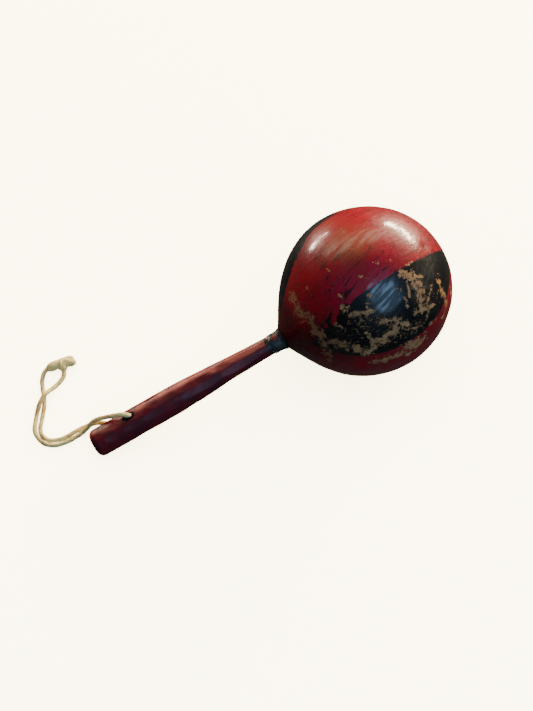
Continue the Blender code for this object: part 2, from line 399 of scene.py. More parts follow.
def smooth_through(points, every):
    """Points that far apart along a smooth curve through the given ones, none lower than the cord can lie.

    Each stretch is a cubic. Its slope at a point leans towards the nearer neighbour's direction, as an
    arc's does.
    """
    points = np.asarray(points, float)
    gaps = np.linalg.norm(np.diff(points, axis=0), axis=1)[:, None]
    ways = np.diff(points, axis=0) / gaps
    middle = (ways[:-1] * gaps[1:] + ways[1:] * gaps[:-1]) / (gaps[1:] + gaps[:-1])
    slopes = np.concatenate([ways[:1], middle, ways[-1:]])
    t = np.linspace(0, 1, PLACES_PER_STRETCH + 1)[:-1, None, None]
    fine = (
        points[:-1] * (2 * t**3 - 3 * t**2 + 1) + slopes[:-1] * gaps * (t**3 - 2 * t**2 + t)
        + points[1:] * (3 * t**2 - 2 * t**3) + slopes[1:] * gaps * (t**3 - t**2)
    )
    fine = np.concatenate([fine.transpose(1, 0, 2).reshape(-1, 3), points[-1:]])
    fine[:, 2] = np.maximum(fine[:, 2], CORD_LOWEST)
    run = np.concatenate([[0.0], np.cumsum(np.linalg.norm(np.diff(fine, axis=0), axis=1))])
    wanted = np.linspace(0, run[-1], round(run[-1] / every) + 1)
    return np.stack([np.interp(wanted, run, fine[:, axis]) for axis in range(3)], -1)


def carried_frames(path):
    """Two directions across the path at each of its points, carried along it without turning about it."""
    ways = np.gradient(path, axis=0)
    ways /= np.linalg.norm(ways, axis=1)[:, None]
    across = np.cross(ways[0], (0.0, 0.0, 1.0))
    sides = []
    for way in ways:
        across = across - way * (across @ way)
        across = across / np.linalg.norm(across)
        sides.append(across)
    sides = np.array(sides)
    return ways, sides, np.cross(ways, sides)


def twisted_strand(name, path, radius, lay, yarns, taper=0.0, seed=1):
    """A cord of twisted yarns along a path.

    At an angle w round the path, with the twist taken off, the radius is r * (1 - f * (1 - |sin(n w / 2)|)^2)
    for n yarns, so that a furrow of depth f runs between neighbours. It swells a little along its length.
    A taper makes each end round: the radius falls there as a quarter of an ellipse.
    """
    ways, right, up = carried_frames(path)
    step = np.linalg.norm(np.diff(path, axis=0), axis=1).mean()
    run = np.arange(len(path)) * step
    around = all_round(30)
    yarn = around - TURN * run[:, None] / lay
    furrow = 1 - FURROW * (1 - np.abs(np.sin(yarns * yarn / 2))) ** 2
    swell = 1 + SWELL * ripple(path, 9 * MM, seed)[:, None]
    size = radius * furrow * swell
    if taper:
        left = np.clip(np.minimum(run, run[-1] - run) / taper, 0.0, 1.0)
        size = size * np.sqrt(np.maximum(1 - (1 - left) ** 2, 0.02))[:, None]
    rings = (
        path[:, None, :] + (size * np.cos(around))[..., None] * right[:, None, :]
        + (size * np.sin(around))[..., None] * up[:, None, :]
    )
    rings[..., 2] = np.maximum(rings[..., 2], TABLE_GAP)
    mesh = skin(name, rings, path[0], path[-1])
    far = run[:, None] / (FIBRE_STRETCH * radius)
    turned = np.stack([np.cos(yarn), np.sin(yarn), np.broadcast_to(far, yarn.shape)], -1)
    ends = np.array([[0, 0, far[0, 0]], [0, 0, far[-1, 0]]])
    write_field(mesh, "yarn", np.concatenate([turned.reshape(-1, 3), ends]) * radius)
    depth = (1 - furrow) / FURROW
    write_field(mesh, "furrow", np.concatenate([depth.ravel(), [0.0, 0.0]]))
    return mesh


def cotton_finish(settings):
    """Twisted cotton, browned in its furrows and in patches where it has been handled."""
    made, shader, start = new_finish("aged cotton")
    spot = start.add("ShaderNodeTexCoord", output=3)
    fibres = start.field("yarn", vector=True).noise(0.22 * MM, detail=4.0, roughness=0.7)
    patches = spot.noise(9 * MM, detail=4.0)
    darkening = patches.rise(0.42, 0.68) * 0.7 + start.field("furrow") * 0.5 + fibres * 0.4 - 0.35
    cloth = darkening.rise(0.0, 1.0).over(settings.cream, settings.soiled)
    set_shader(
        shader, start, height=fibres + spot.noise(0.5 * MM) * 0.6, relief=0.16 * MM,
        Base_Color=cloth, Roughness=0.78, Sheen_Weight=0.1, Sheen_Roughness=0.5, Specular_IOR_Level=0.3,
    )
    return made


def winding_path():
    """The winding round the knot's body: a squashed helix about the line through the knot."""
    start, end = np.array(WINDING_FROM_MM) * MM, np.array(WINDING_TO_MM) * MM
    way = (end - start) / np.linalg.norm(end - start)
    across = np.cross(way, (0.0, 0.0, 1.0))
    share = np.linspace(0, 1, 90)[:, None]
    angle = TURN * WINDING_TURNS * share + WINDING_START
    middle = start + (end - start) * share
    up = np.array((0.0, 0.0, WINDING_SQUASH))
    return middle + WINDING_RADIUS * (np.cos(angle) * across + np.sin(angle) * up)


def knot_mesh(settings):
    """The knot's strands and its winding, in one mesh."""

    def strand(name, path, radius, taper, seed):
        lay, yarns = settings.lay, settings.yarns
        return twisted_strand(name, path, radius * MM, lay, yarns, taper * MM, seed)

    strands = []
    for seed, (name, route, radius, taper) in enumerate(KNOT_STRANDS_MM, 5):
        path = smooth_through(np.array(route) * MM, 0.35 * MM)
        strands.append(strand(name, path, radius, taper, seed))
    strands.append(strand("winding", winding_path(), 1.25, 3.0, 9))
    return join_meshes("wrist_knot", strands)


class MARACA_OT_cord(bpy.types.Operator):
    """The wrist cord and the knot that joins its ends"""

    bl_idname = "maraca.cord"
    bl_label = "Wrist Cord"

    def execute(self, context):
        settings = context.scene.maraca_cord
        finish = cotton_finish(settings)
        path = smooth_through(np.array(CORD_ROUTE_MM) * MM, 0.45 * MM)
        mesh = twisted_strand("wrist_cord_yarn", path, settings.strand, settings.lay, settings.yarns)
        cord = add_piece("wrist_cord_yarn", mesh, finish, replaces=["wrist_cord"])

        knot = knot_mesh(settings)
        knot = add_piece("wrist_knot", knot, finish, replaces=["cord_knot"])
        return {"FINISHED"}


# ---------------------------------------------------------------- gourd

# the black bands, in degrees: middle at latitude LEAN_FROM, half their width, the latitude where they start,
# and how far their middle leans for each degree of latitude up to LEAN_TO
BLACK_BANDS = ((48, 26, 30, 0.0), (-71, 23, 10, -0.5), (165, 27, 24, 0.1))
LEAN_FROM, LEAN_TO = 88, 100
BAND_OPENS, BAND_CLOSES, BAND_END = 22, 14, 184

# where paint has flaked off: latitude and angle round of each end in degrees, half the width in millimetres
FLAKES = (
    (112, 26, 117, 30, 2.2), (117, 30, 124, 36, 0.9), (116, 32, 118, 40, 2.7), (118, 40, 117, 50, 2.6),
    (117, 50, 110, 55, 2.3), (128, 48, 119, 55, 0.8), (123, 52, 117, 57, 0.7), (123, 62, 110, 56, 0.9),
    (117, 60, 111, 67, 0.7), (106, 40, 104, 48, 0.7), (112, 33, 109, 42, 0.7), (116, 22, 122, 22, 0.7),
    (104, 33, 106, 35, 0.8), (137, 48, 135, 57, 2.0), (135, 57, 136, 67, 2.2), (136, 67, 133, 78, 1.7),
    (133, 78, 126, 83, 1.2), (146, 78, 144, 94, 1.6), (120, 75, 113, 72, 0.9), (68, 27, 70, 33, 1.8),
    (70, 33, 78, 36, 1.7), (78, 36, 84, 37, 1.2), (86, 28, 80, 36, 1.0), (57, 34, 60, 39, 0.9),
    (84, 47, 97, 52, 1.1), (98, 58, 90, 57, 2.1), (90, 57, 82, 59, 1.8), (82, 59, 74, 57, 1.3),
    (74, 57, 72, 49, 1.1), (82, 60, 72, 64, 2.6), (72, 64, 66, 66, 2.2), (104, 66, 98, 62, 0.8),
    (37, -12, 37, 7, 2.6), (37, 7, 41, 19, 2.8), (41, 19, 40, 32, 2.4), (40, 32, 43, 46, 3.0),
    (43, 46, 53, 52, 2.5), (53, 52, 64, 62, 2.2), (43, 47, 39, 74, 2.1), (104, 80, 92, 76, 3.2),
    (92, 76, 86, 80, 1.6), (69, 77, 83, 80, 2.4), (90, 84, 96, 86, 1.2), (99, 10, 101, 12, 0.6),
    (109, 14, 111, 16, 0.6), (93, -24, 93, -22, 0.7), (71, -3, 72, 0, 0.5), (69, 17, 70, 20, 0.6),
    (52, -4, 52, -2, 0.7), (86, 13, 88, 15, 0.5),
)

# rubbed places, where only specks are gone: the same, and how worn each is, from 0 to 1
RUBBED = (
    (70, 40, 92, 50, 8.0, 1.0), (84, 58, 104, 66, 7.0, 1.0), (58, 40, 70, 60, 7.0, 0.8),
    (112, 45, 134, 72, 7.0, 0.6), (70, 10, 96, 24, 7.0, 0.5), (50, -6, 76, 8, 8.0, 0.42),
    (38, 0, 46, 56, 5.0, 0.8), (90, -24, 118, 10, 9.0, 0.3),
    (72, 74, 104, 80, 5.0, 0.8), (60, 120, 110, 150, 14.0, 0.8), (85, 190, 130, 215, 12.0, 0.7),
    (50, 240, 95, 262, 12.0, 0.7), (120, 250, 140, 290, 9.0, 0.5), (40, 160, 52, 210, 8.0, 0.8),
)
# the same as FLAKES, on the far side and underneath
FAR_FLAKES = (
    (70, 122, 92, 134, 1.8), (92, 134, 104, 128, 1.3), (66, 150, 84, 162, 1.5), (110, 140, 122, 158, 1.2),
    (58, 182, 74, 190, 2.0), (74, 190, 80, 206, 1.5), (98, 200, 118, 208, 1.6), (118, 208, 126, 222, 1.1),
    (62, 232, 76, 246, 1.7), (84, 252, 104, 256, 1.4), (128, 262, 138, 280, 1.2), (44, 216, 50, 236, 2.0),
)
# how many times its half width a flake, or a rubbed place, reaches as it fades out
FLAKE_SPREAD = 1.7
RUBBED_SPREAD = 1.7
STROKE_LEAN = 0.35
STROKE_SHRINK = 0.06
LEAST_GIRTH = 4 * MM
NECK_SPREAD = math.radians(16)
CALM_REACH = 20 * MM
SCAR = (141, 14)  # latitude and angle round, in degrees


def gourd_radius(settings, latitude):
    """From the gourd's centre to its skin.

    ball + neck * e^(-latitude / neck's spread), and past the equator + tip * cos(latitude)^4
    """
    tip = np.where(latitude > math.pi / 2, np.cos(latitude) ** 4, 0.0)
    neck = np.exp(-latitude / NECK_SPREAD)
    return settings.radius + settings.neck_reach * neck + settings.tip_reach * tip


def on_gourd(settings, latitude, around, depth=0.0):
    """World points of the skin, or that deep under it, at these latitudes and angles round."""
    radius = gourd_radius(settings, latitude) - depth
    return place(settings.centre - radius * np.cos(latitude), around, radius * np.sin(latitude))


def gourd_mark(settings, latitude, around):
    """One place on the skin, from degrees."""
    return on_gourd(settings, np.radians(float(latitude)), np.radians(float(around)))


def gourd_mesh(settings):
    """The hollow skin: outside from tip to neck, the rim of its hole, then inside from neck to tip.

    The outside rises and falls by a third of a millimetre in long waves, and it is flat where it lies on the
    table. It has a dimple d = 0.5 mm * e^(-(r / 3.5 mm)^2) deep at the scar.
    """
    rim = math.asin((settings.bore + 1.3 * MM) / gourd_radius(settings, np.float64(0.1)))
    inner_rim = math.asin(settings.bore / (gourd_radius(settings, np.float64(0.1)) - settings.wall))
    around = all_round(settings.sides)
    down = np.linspace(math.pi, rim, settings.rows + 1)[1:, None] + 0 * around
    back = np.linspace(inner_rim, math.pi, 41)[:-1, None] + 0 * around
    outside = on_gourd(settings, down, around + 0 * down)
    centre = BUTT + settings.centre * ALONG
    out = (outside - centre) / np.linalg.norm(outside - centre, axis=-1)[..., None]
    calm = 1 - nearness(outside, np.array(MOUNTS["gourd_rest"]["pos_m"]), CALM_REACH)
    uneven = ripple(outside, 52 * MM, 3) * 0.30 * MM + ripple(outside, 15 * MM, 4) * 0.07 * MM
    pit = nearness(outside, gourd_mark(settings, *SCAR), 3.5 * MM) * 0.5 * MM
    outside = outside + out * ((uneven * calm - pit) * smoothstep(rim, rim + 0.12, down))[..., None]
    outside[..., 2] = np.maximum(outside[..., 2], 0.0)
    rim_ring = place(
        np.full_like(around, settings.centre - gourd_radius(settings, rim) * math.cos(rim)), around,
        np.full_like(around, settings.bore),
    )
    inside = on_gourd(settings, back, around + 0 * back, settings.wall)
    rings = np.concatenate([outside, rim_ring, inside])[::-1]
    tip = on_gourd(settings, np.float64(math.pi), np.float64(0.0))
    return skin("gourd_skin", rings, tip - ALONG * settings.wall, tip)


def band_cover(latitude, around):
    """How far inside a black band each place is, as an angle round the axis, negative outside all of them.

    A band starts as a point, widens as 1 - e^(-degrees past its start / 22), and closes towards the tip.
    """
    degrees = np.degrees(latitude)
    best = np.full(latitude.shape, -math.pi)
    for middle, half, first, lean in BLACK_BANDS:
        closing = 1 - np.exp(-(BAND_END - degrees) / BAND_CLOSES)
        spread = half * (1 - np.exp(-(degrees - first) / BAND_OPENS)) * closing
        centre = middle + lean * (np.minimum(degrees, LEAN_TO) - LEAN_FROM)
        apart = np.abs((np.degrees(around) - centre + 180) % 360 - 180)
        best = np.maximum(best, np.radians(spread - apart))
    return best


def paint_gourd(settings, mesh):
    """Writes the gourd's fields: bands, flakes, rubbed places, brush strokes and tints."""
    points = mesh_points(mesh)
    along, around, off = measure(points)
    latitude = np.arctan2(off, settings.centre - along)
    girth = np.maximum(off, LEAST_GIRTH)
    write_field(mesh, "black_band", band_cover(latitude, around) * girth)

    def line_distance(first, first_round, last, last_round):
        start, end = gourd_mark(settings, first, first_round), gourd_mark(settings, last, last_round)
        return segment_distance(points, start, end)

    flaked = np.zeros(len(points))
    for *line, half in FLAKES + FAR_FLAKES:
        near = line_distance(*line) / (half * MM)
        flaked = np.maximum(flaked, np.exp(-((near / FLAKE_SPREAD) ** 2)))
    write_field(mesh, "flaked", flaked)

    rubbed_and_sheen = np.zeros(len(points))
    for *line, half, strength in RUBBED:
        near = 1 - line_distance(*line) / (RUBBED_SPREAD * half * MM)
        rubbed_and_sheen = np.maximum(rubbed_and_sheen, strength * smoothstep(0.0, 0.8, near))
    write_field(mesh, "rubbed_and_sheen", rubbed_and_sheen)

    lean = around + STROKE_LEAN * (latitude - math.pi / 2)
    down = latitude * settings.radius * STROKE_SHRINK
    write_field(mesh, "stroke", np.stack([np.cos(lean) * off, np.sin(lean) * off, down], -1))

    def patch(mark, mark_round, size):
        return nearness(points, gourd_mark(settings, mark, mark_round), size * MM)

    # orange tint: a painted warm sheen on the upper middle, and faded paint underneath
    faded_and_warm_sheen = np.maximum(patch(92, -10, 17), 0.6 * patch(86, -36, 13)) + 0.4 * patch(100, 205, 26)
    write_field(mesh, "faded_and_warm_sheen", faded_and_warm_sheen)
    # wine tint: red thin over black, and a painted magenta sheen on top beside the black band
    thin_red_and_sheen = np.maximum(patch(76, 16, 17), 0.8 * patch(94, 18, 12))
    write_field(mesh, "thin_red_and_sheen", thin_red_and_sheen + 0.5 * patch(116, 6, 17) + 0.6 * patch(80, 110, 22))
    ragged = patch(54, 34, 16) + 0.6 * patch(70, 125, 20) + 0.5 * patch(60, 230, 20)
    write_field(mesh, "rough_edge", ragged + 0.5 * patch(80, -50, 30))
    # the bare skin and the red are made darker towards the neck
    write_field(mesh, "bare_darker_by_neck", 1 - smoothstep(math.radians(46), math.radians(72), latitude))
    by_neck = 1 - smoothstep(math.radians(20), math.radians(42), latitude)
    write_field(mesh, "darker_by_neck", np.maximum(by_neck, patch(34, 48, 20)))
    scar = 0.85 * patch(*SCAR, 4.2)
    write_field(mesh, "sooty", np.maximum(scar, 1 - smoothstep(math.radians(5), math.radians(13), latitude)))


def gourd_finish(settings):
    """Brushed red paint with black bands, flaked in patches down to the dry gourd."""
    made, shader, start = new_finish("painted gourd")
    spot = start.add("ShaderNodeTexCoord", output=3)
    field = start.field
    stroke = field("stroke", vector=True)
    hairs = stroke.swing(0.8 * MM, detail=3.0, roughness=0.6)
    strokes = stroke.swing(2.6 * MM, detail=2.0)
    clouds = spot.swing(15 * MM, detail=4.0)
    grit = spot.swing(2.4 * MM, detail=5.0, roughness=0.65)
    fine = spot.swing(0.8 * MM, detail=3.0, roughness=0.7)

    # red: rust where faded and as a painted warm sheen on the upper middle, wine where thin and as a
    # painted magenta sheen beside the black band on top, with darker and lighter brush strokes
    dark_red = tuple(0.5 * part for part in settings.red)
    deep_red = tuple(0.2 * part for part in settings.red)
    red = (clouds.rise(-0.5, 0.8) * 0.55).over(settings.red, dark_red)
    # orange tint: faded paint, and a painted warm sheen on the upper middle
    fade_and_sheen = field("faded_and_warm_sheen") * (1.0 + 0.6 * clouds + 0.3 * strokes)
    red = fade_and_sheen.rise(0.1, 1.0).over(red, settings.rust)
    # wine tint: thin red, and a painted magenta sheen beside the black band on top
    thin_and_sheen = field("thin_red_and_sheen") * (1.0 + 0.5 * strokes)
    red = (thin_and_sheen.rise(0.1, 1.1) * 0.9).over(red, settings.wine)
    red = ((hairs * 0.5 + strokes * 0.9).rise(0.1, 0.8) * 0.5).over(red, deep_red)
    red = ((-0.8 * hairs - strokes * 0.5).rise(0.15, 0.8) * 0.3).over(red, (0.36, 0.045, 0.05))
    # the red is made darker towards the neck
    darkening = (field("darker_by_neck") + clouds * 0.35 + strokes * 0.25).rise(0.15, 1.05)
    red = (darkening * 0.85).over(red, tuple(0.16 * part for part in settings.red))
    dark_strokes = (field("thin_red_and_sheen") * 0.8 + strokes * 0.9 + hairs * 0.8).rise(1.05, 1.4) * 0.85

    # black: the bands' edges follow the brush, and are ragged where the strokes ran out
    edge = field("black_band") + strokes * (0.35 * MM + field("rough_edge") * (6.5 * MM))
    black = edge.rise(-0.2 * MM, 0.25 * MM)
    soot = (field("sooty") + 0.25 * clouds + 0.25 * grit).rise(0.35, 0.95)
    black = black.most(soot * 0.9).most(dark_strokes)
    paint = black.over(red, settings.black)

    # bare: broad flakes with torn edges, and specks round them
    flaked = field("flaked")
    lace = spot.swing(3.6 * MM, detail=7.0, roughness=0.7)
    torn = lace * 1.35 + fine * 0.5
    broad = (flaked + torn * flaked.rise(0.02, 0.45)).rise(0.71, 0.76)
    specks = (field("rubbed_and_sheen") * 0.85 + grit * 0.75 + fine * 0.85).rise(1.14, 1.22)
    stray = (fine * 0.9 + grit * 0.7 + clouds * 0.5).rise(1.22, 1.30)
    bare = broad.most(specks).most(stray)
    # the bare skin is made darker towards the neck
    bare_darker_by_neck = (field("bare_darker_by_neck") * 0.8 + grit * 0.2).rise(0.0, 1.0)
    skin_tone = spot.swing(5 * MM, detail=4.0).rise(-0.6, 0.9).over(settings.bare, (0.30, 0.145, 0.055))
    skin_tone = (fine.rise(-0.1, 0.9) * 0.4).over(skin_tone, (0.13, 0.06, 0.028))
    skin_tone = (bare_darker_by_neck * 0.65).over(skin_tone, (0.17, 0.065, 0.03))
    finish = bare.over(paint, skin_tone)

    # the varnish is left in streaks along the brush strokes, over a duller paint
    polish = (strokes * 0.9 + clouds * 0.6 + hairs * 0.35).rise(-0.35, 0.40)
    varnish = (1 - bare) * (0.12 + polish * 0.78)
    height = hairs * 0.25 + strokes * 0.60 - bare * 0.9 + fine * 0.10 + grit * 0.08
    set_shader(
        shader, start, height=height, relief=0.10 * MM,
        Base_Color=finish, Roughness=0.42 + clouds * 0.05 + bare * 0.2, Specular_IOR_Level=0.22,
        Coat_Weight=varnish, Coat_Roughness=0.17,
    )
    return made


class MARACA_OT_gourd(bpy.types.Operator):
    """The hollow gourd, painted red with black bands"""

    bl_idname = "maraca.gourd"
    bl_label = "Gourd"

    def execute(self, context):
        settings = context.scene.maraca_gourd
        mesh = gourd_mesh(settings)
        paint_gourd(settings, mesh)
        add_piece("gourd_skin", mesh, gourd_finish(settings), replaces=["gourd_shell"])
        return {"FINISHED"}


# ---------------------------------------------------------------- stick and collar

# the stick's thickness: millimetres from the butt and radius
STICK_TAPER = (
    (0.0, 9.1), (12.0, 9.25), (30.0, 9.3), (60.0, 9.25), (68.0, 9.05), (79.0, 8.45), (90.0, 7.85),
    (101.0, 7.15), (113.0, 6.6), (122.0, 6.25), (129.3, 6.0),
)
ROUND_SPARE = 1.004
CUT_ROWS = 9
CUTS_END = 132 * MM
CUT_HOLLOW = 1.6 * MM
CUT_REACH = 0.9
HOLE_FLARE = 0.16
HOLE_TURN = math.radians(-12.5)
HOLE_WAY = math.cos(HOLE_TURN) * TOP + math.sin(HOLE_TURN) * SIDE
BESIDE_HOLE = np.cross(HOLE_WAY, ALONG)

# on the collar: millimetres from the butt, degrees round, and size in millimetres
RED_SPOTS = ((134.0, -4, 2.3), (137.9, 0, 1.2), (135.0, 120, 1.8), (132.5, 215, 1.6))
CHIPS = ((129.8, -18, 2.2), (131.0, 80, 1.2), (136.4, 170, 1.6), (130.4, 250, 1.8))


def stick_radius(along):
    """The stick's radius before it is whittled: straight stretches between the taper's places, joined softly.

    It is the mean of the taper's radius 3 mm before, at, and 3 mm after the place.
    """
    reach = np.array([-3.0, 0.0, 3.0]) * MM
    at, radius = np.array(STICK_TAPER).T * MM
    return sum(np.interp(along + step, at, radius) for step in reach) / len(reach)


def knife_cuts(along, around):
    """The radius after whittling: the least of the round stick and of many shallow knife cuts.

    A cut of length l round the place (c, w) leaves, at (s, a), the radius
    (r(c) - depth + tilt * (s - c) + 1.6 mm * ((s - c) / l)^2) / cos(a - w), flat across and hollow along.
    """
    rng = np.random.default_rng(11)
    radius = stick_radius(along) * ROUND_SPARE
    for row in range(CUT_ROWS):
        at = rng.uniform(-8, 2) * MM
        while at < CUTS_END:
            cut = rng.uniform(13, 26) * MM
            middle = at + cut / 2
            facing = TURN * (row + rng.uniform(-0.22, 0.22)) / CUT_ROWS
            depth = rng.uniform(0.10, 0.36) * MM
            tilt = rng.uniform(-0.010, 0.010)
            apart = (around - facing + math.pi) % TURN - math.pi
            reach = along - middle
            flat = stick_radius(middle) - depth + tilt * reach + CUT_HOLLOW * (reach / cut) ** 2
            level = flat / np.cos(np.clip(apart, -1.0, 1.0))
            radius = np.minimum(radius, np.where(np.abs(apart) < CUT_REACH, level, radius))
            at += cut * rng.uniform(0.75, 1.0)
    return radius


def stick_mesh(settings):
    """The whittled stick: its butt face, rounded edge, shaft, shoulder and the peg in the gourd."""
    around = all_round(128)
    corner = settings.butt_round
    turn = np.linspace(0, math.pi / 2, 9)[1:, None]
    shaft = np.linspace(corner, settings.shoulder, 216)[1:, None] + 0 * around
    full = knife_cuts(shaft, around + 0 * shaft)
    edge = full[:1]
    flat = np.linspace(0, 1, 9)[1:, None] * (edge - corner)
    sawn = ripple(place(0 * flat, around + 0 * flat, flat), 3 * MM, 21) * 0.05 * MM
    rings = [
        place(sawn * smoothstep(0, 3 * MM, edge - corner - flat), around + 0 * flat, flat),
        place(
            corner * (1 - np.cos(turn)) + 0 * around, around + 0 * turn, edge - corner + corner * np.sin(turn)
        ),
        place(shaft, around + 0 * shaft, full),
    ]
    tip = settings.tenon_tip
    for at, off in (
        (settings.shoulder, settings.tenon), (settings.shoulder + 4 * MM, settings.tenon),
        (tip - 1 * MM, settings.tenon), (tip, settings.tenon - 1 * MM),
    ):
        rings.append(place(np.full_like(around, at), around, np.full_like(around, off)))
    return skin("whittled_stick", np.concatenate(rings), BUTT, BUTT + tip * ALONG)


def cut_hole(settings, mesh):
    """The mesh with the cord's oval hole cut through it."""
    angle = all_round(48)
    reach = np.array([-18, -9.5, -8.4, -6.5, 6.5, 8.4, 9.5, 18])[:, None] * MM
    worn = 1 + HOLE_FLARE * smoothstep(7 * MM, 9.5 * MM, np.abs(reach))
    middle = BUTT + settings.hole_at * ALONG
    rings = (
        middle + reach[..., None] * HOLE_WAY
        + (worn * settings.hole_length / 2 * np.cos(angle))[..., None] * ALONG
        - (worn * settings.hole_width / 2 * np.sin(angle))[..., None] * BESIDE_HOLE
    )
    first, last = middle + reach[0] * HOLE_WAY, middle + reach[-1] * HOLE_WAY
    cutter = put("hole_cutter", skin("hole_cutter", rings, first, last))
    stick = put("uncut_stick", mesh)
    drill = stick.modifiers.new("cord hole", "BOOLEAN")
    drill.operation = "DIFFERENCE"
    drill.object = cutter
    cut = bpy.data.meshes.new_from_object(stick.evaluated_get(bpy.context.evaluated_depsgraph_get()))
    for made in (cutter, stick):
        bpy.data.objects.remove(made)
    cut.name = "whittled_stick"
    cut.materials.clear()
    return cut


def paint_stick(settings, mesh):
    """Writes the stick's fields: grain, the hole's painted shade, rubbed places and painted sheen on top, the
    black neck.
    """
    points = mesh_points(mesh)
    along, around, off = measure(points)
    write_field(mesh, "grain", np.stack([along * 0.12, off * np.cos(around), off * np.sin(around)], -1))
    gone = points - BUTT - settings.hole_at * ALONG
    oval = np.hypot(gone @ ALONG / settings.hole_length, gone @ BESIDE_HOLE / settings.hole_width) * 2
    # painted shade: marks the hole's wall and a thin rim round its mouth for darkening
    write_field(mesh, "hole_shade", 1 - smoothstep(0.96, 1.10, oval))
    # painted sheen and wear: a lighter band along the upper side, facing the light, stronger towards the neck
    # and the butt, in patches
    lit_side = np.exp(-(((np.degrees(around) + 26) / 36) ** 2))
    sheen_and_wear_along = 0.45 + 0.30 * smoothstep(45 * MM, 75 * MM, along) + 0.30 * (1 - smoothstep(8 * MM, 22 * MM, along))
    write_field(mesh, "rubbed_and_sheen", lit_side * (sheen_and_wear_along + 0.40 * ripple(points, 13 * MM, 31)))
    write_field(mesh, "neck", smoothstep(settings.shoulder - 5 * MM, settings.shoulder, along))


def stick_finish(settings):
    """Old maroon paint on whittled wood: brick where rubbed and as painted sheen on top, plum where thick,
    fine grain.
    """
    made, shader, start = new_finish("painted stick")
    spot = start.add("ShaderNodeTexCoord", output=3)
    grain = start.field("grain", vector=True).swing(0.8 * MM, detail=5.0, roughness=0.65)
    smears = start.field("grain", vector=True).swing(3.5 * MM, detail=3.0)
    patches = spot.swing(9 * MM, detail=3.0, roughness=0.5)
    fine = spot.swing(0.8 * MM, detail=4.0, roughness=0.7)
    paint = patches.rise(-0.6, 0.6).over(settings.maroon, settings.plum)
    # brick over the maroon: worn paint, and a painted sheen along the upper side
    rubbed_and_sheen = (start.field("rubbed_and_sheen") + smears * 0.22 + patches * 0.15).rise(0.25, 0.95)
    paint = rubbed_and_sheen.over(paint, settings.brick_wear_and_sheen)
    paint = (grain.rise(0.1, 1.3) * 0.5).over(paint, (0.016, 0.002, 0.003))
    worn = (start.field("rubbed_and_sheen") * 0.5 + fine * 0.45 + grain * 0.35).rise(1.15, 1.25)
    paint = (worn * 0.75).over(paint, (0.30, 0.14, 0.08))
    soot = (start.field("neck") * 1.3 + smears * 0.25).rise(0.35, 0.8)
    paint = soot.over(paint, (0.02, 0.018, 0.018))
    # painted shade: the hole's wall and rim are made nearly black, and duller
    wall = start.field("hole_shade")
    paint = wall.over(paint, (0.004, 0.002, 0.002))
    set_shader(
        shader, start, height=grain * 0.14 + patches * 0.10 - worn * 0.4 + fine * 0.06, relief=0.12 * MM,
        Base_Color=paint, Roughness=0.43 + grain * 0.08 + patches * 0.08 + wall * 0.5,
        Coat_Weight=(1 - worn) * 0.08, Coat_Roughness=0.35, Specular_IOR_Level=0.20,
    )
    return made


class MARACA_OT_stick(bpy.types.Operator):
    """The whittled stick with the hole for its cord"""

    bl_idname = "maraca.stick"
    bl_label = "Stick"

    def execute(self, context):
        settings = context.scene.maraca_stick
        mesh = cut_hole(settings, stick_mesh(settings))
        paint_stick(settings, mesh)
        mesh.shade_smooth()
        mesh.set_sharp_from_angle(angle=math.radians(40))
        add_piece("whittled_stick", mesh, stick_finish(settings), replaces=["handle"])
        return {"FINISHED"}


def collar_mesh(settings):
    """Putty pressed round the joint: a lumpy ring that thins out over the stick and laps on to the gourd."""
    around = all_round(96)
    start, end = settings.start, settings.end
    outline = np.array([
        (start, 5.0 * MM), (start - 0.05 * MM, 5.9 * MM), (start + 0.3 * MM, 6.25 * MM),
        (start + 2.0 * MM, 6.45 * MM), (start + 4.4 * MM, 6.35 * MM), (start + 6.8 * MM, 6.6 * MM),
        (end - 0.5 * MM, 7.3 * MM), (end, 7.6 * MM), (end - 0.2 * MM, 6.6 * MM), (end - 1.2 * MM, 6.1 * MM),
        (end - 1.2 * MM, 5.0 * MM),
    ])
    steps = np.linspace(0, len(outline) - 1, 61)[:-1]
    corners = np.arange(len(outline))
    at, off = (np.interp(steps, corners, column)[:, None] + 0 * around for column in outline.T)
    outer = ((steps > 1) & (steps < 7.5))[:, None]
    lumps = ripple(place(at, around + 0 * at, off), 7 * MM, 41) * 0.24 * MM
    off = off + np.where(outer, lumps + 0.18 * MM, 0.0)
    return skin("putty_collar", place(at, around + 0 * at, off), loop=True)


def putty_finish(settings):
    """Blackened putty with grey-green bloom, blue-grey patches of painted sheen, spots of red paint and tan
    chips.
    """
    made, shader, start = new_finish("blackened putty")
    spot = start.add("ShaderNodeTexCoord", output=3)
    bloom = spot.noise(4.5 * MM, detail=3.0)
    other = spot.noise(3.1 * MM, detail=2.0, warp=1.0)
    fine = spot.noise(0.7 * MM, detail=4.0, roughness=0.7)
    tone = bloom.rise(0.45, 0.66).over(settings.black, (0.040, 0.042, 0.028))
    # painted sheen: blue-grey patches over the black putty
    tone = other.rise(0.56, 0.70).over(tone, (0.03, 0.042, 0.06))
    tone = start.field("red_spot").rise(0.42, 0.58).over(tone, (0.19, 0.018, 0.012))
    chip = (start.field("chip") + (fine - 0.5) * 0.8).rise(0.5, 0.56)
    tone = chip.over(tone, (0.34, 0.20, 0.11))
    set_shader(
        shader, start, height=bloom * 0.6 + fine * 0.35 - chip * 0.5, relief=0.2 * MM,
        Base_Color=tone, Roughness=0.42 + fine * 0.2, Specular_IOR_Level=0.4,
    )
    return made


